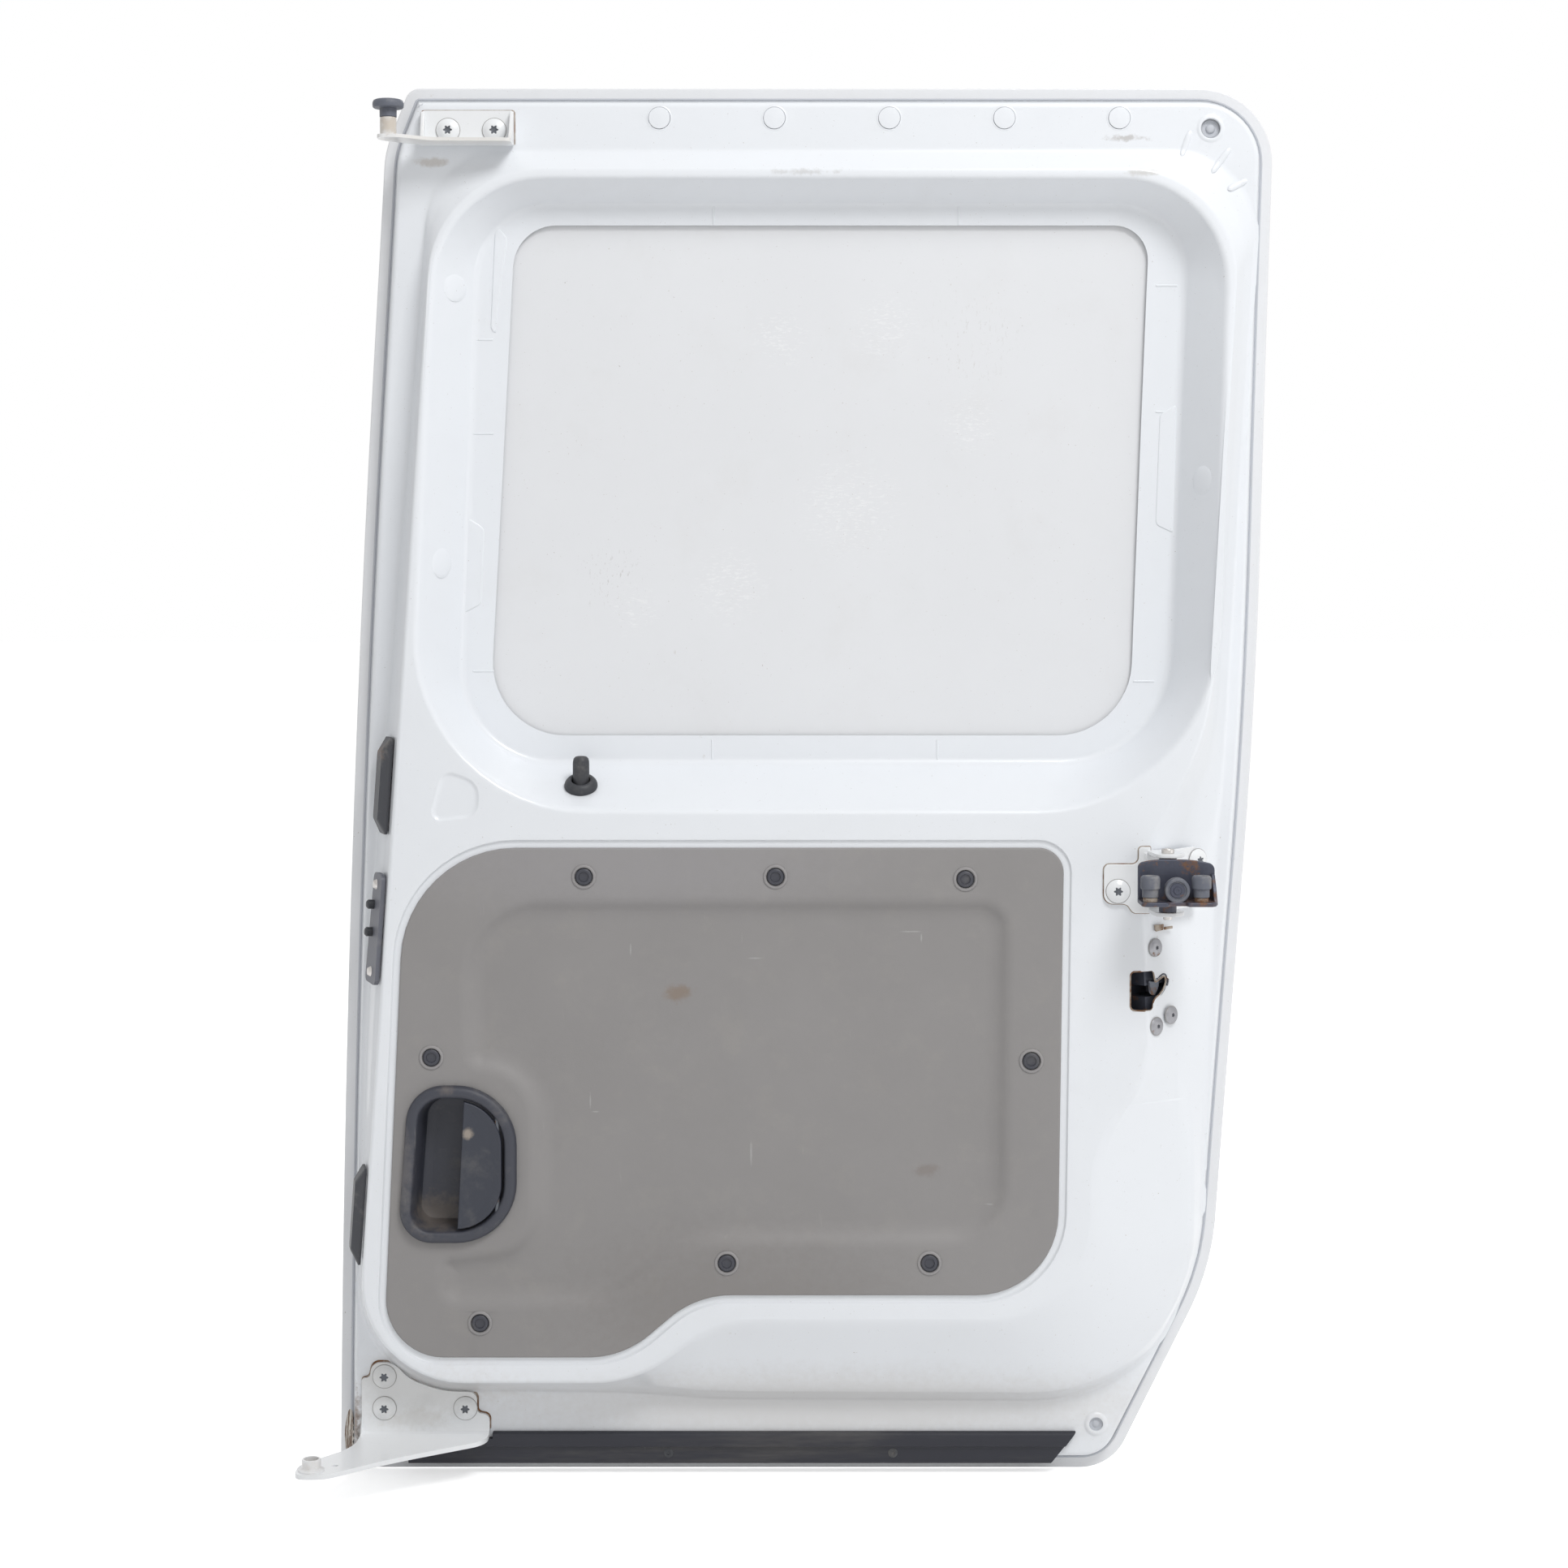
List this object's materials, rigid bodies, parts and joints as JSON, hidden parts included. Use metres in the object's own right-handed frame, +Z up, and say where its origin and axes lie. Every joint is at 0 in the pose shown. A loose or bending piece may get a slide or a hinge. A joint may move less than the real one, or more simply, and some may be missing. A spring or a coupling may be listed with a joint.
{
  "type": "van sliding side door",
  "caption": "Sliding side door of a compact panel van: unglazed outer skin, pressed inner panel with window recess, trim, handle, latch, seal, roller arms and carriage.",
  "frame": {"origin": "underside of the lower roller arm's tray, on the axis of its roller collar", "axes": "+Z up the door, +X to its rear edge, +Y outwards through the skin; the cabin side looks to -Y"},
  "size_m": [0.8358, 0.1879, 1.212],
  "materials": {
    "skin_paint": "gloss, inner side dusty",
    "inner_paint": "gloss, dirty in the corners",
    "arm_paint": "gloss over pressed steel, rust at the edges",
    "trim_plastic": "fine grain",
    "bezel_plastic": "satin, scuffed",
    "lever_plastic": "satin",
    "black_plastic": "satin",
    "contact_plastic": "satin",
    "roller_nylon": "satin, greasy",
    "carriage_steel": "black, worn",
    "zinc_steel": "dull zinc",
    "latch_steel": "dark, greasy",
    "seal_rubber": "matt, dusty"
  },
  "bodies": {
    "door": {"outer_skin": "skin_paint", "inner_panel": "inner_paint", "outer_handle_cup": "black_plastic", "outer_handle": "black_plastic", "trim_panel": "trim_plastic", "trim_clips": "trim_plastic", "handle_bezel": "bezel_plastic", "lever_pin": "zinc_steel", "lock_grommet": "black_plastic", "lower_arm": "arm_paint", "lower_collar": "arm_paint", "lower_arm_bolts": "arm_paint", "upper_arm": "arm_paint", "upper_arm_bolts": "arm_paint", "upper_roller_pin": "zinc_steel", "rear_bracket": "arm_paint", "rear_bracket_bolts": "arm_paint", "carriage_pin": "zinc_steel", "latch_body": "latch_steel", "latch_screws": "zinc_steel", "upper_wedge": "black_plastic", "lower_wedge": "black_plastic", "contact_plate": "contact_plastic", "contact_screws": "zinc_steel", "top_plugs": "inner_paint", "sill_seal": "seal_rubber"},
    "lever": {"handle_lever": "lever_plastic"},
    "knob": {"lock_knob": "black_plastic"},
    "carriage": {"carriage_arm": "carriage_steel", "load_roller_pin": "zinc_steel", "guide_pin_front": "zinc_steel", "guide_pin_rear": "zinc_steel"},
    "load_roller": {"load_roller": "roller_nylon"},
    "guide_roller_front": {"guide_roller_front": "roller_nylon"},
    "guide_roller_rear": {"guide_roller_rear": "roller_nylon"},
    "upper_roller": {"upper_roller": "roller_nylon"},
    "plunger_upper": {"contact_plunger_upper": "black_plastic"},
    "plunger_lower": {"contact_plunger_lower": "black_plastic"}
  },
  "joints": [
    {"name": "lever_swing", "type": "hinge", "parent": "door", "child": "lever", "pos_m": [0.1499, 0.06335, 0.248], "axis": [0, 0, 1], "range_deg": [0, 30], "stiffness_Nm_per_rad": 0.4, "springref_deg": -14.32},
    {"name": "knob_slide", "type": "slide", "parent": "door", "child": "knob", "axis": [0, 0, 1], "range_m": [-0.012, 0]},
    {"name": "carriage_swing", "type": "hinge", "parent": "door", "child": "carriage", "pos_m": [0.7235, 0.03995, 0.494], "axis": [0, 0, 1], "range_deg": [0, 75]},
    {"name": "load_roller_spin", "type": "hinge", "parent": "carriage", "child": "load_roller", "pos_m": [0.727, 0.00895, 0.491], "axis": [0, 1, 0], "continuous": true},
    {"name": "guide_roller_front_spin", "type": "hinge", "parent": "carriage", "child": "guide_roller_front", "pos_m": [0.7045, 0.00895, 0.49], "axis": [0, 0, 1], "continuous": true},
    {"name": "guide_roller_rear_spin", "type": "hinge", "parent": "carriage", "child": "guide_roller_rear", "pos_m": [0.7475, 0.00895, 0.49], "axis": [0, 0, 1], "continuous": true},
    {"name": "upper_roller_spin", "type": "hinge", "parent": "door", "child": "upper_roller", "pos_m": [0.061, 0.04571, 1.15], "axis": [0, 0, 1], "continuous": true},
    {"name": "plunger_upper_press", "type": "slide", "parent": "door", "child": "plunger_upper", "axis": [0.9265, 0.3706, -0.0646], "range_m": [0, 0.004], "stiffness_N_per_m": 300, "springref_m": -0.004},
    {"name": "plunger_lower_press", "type": "slide", "parent": "door", "child": "plunger_lower", "axis": [0.9265, 0.3706, -0.0646], "range_m": [0, 0.004], "stiffness_N_per_m": 300, "springref_m": -0.004}
  ]
}
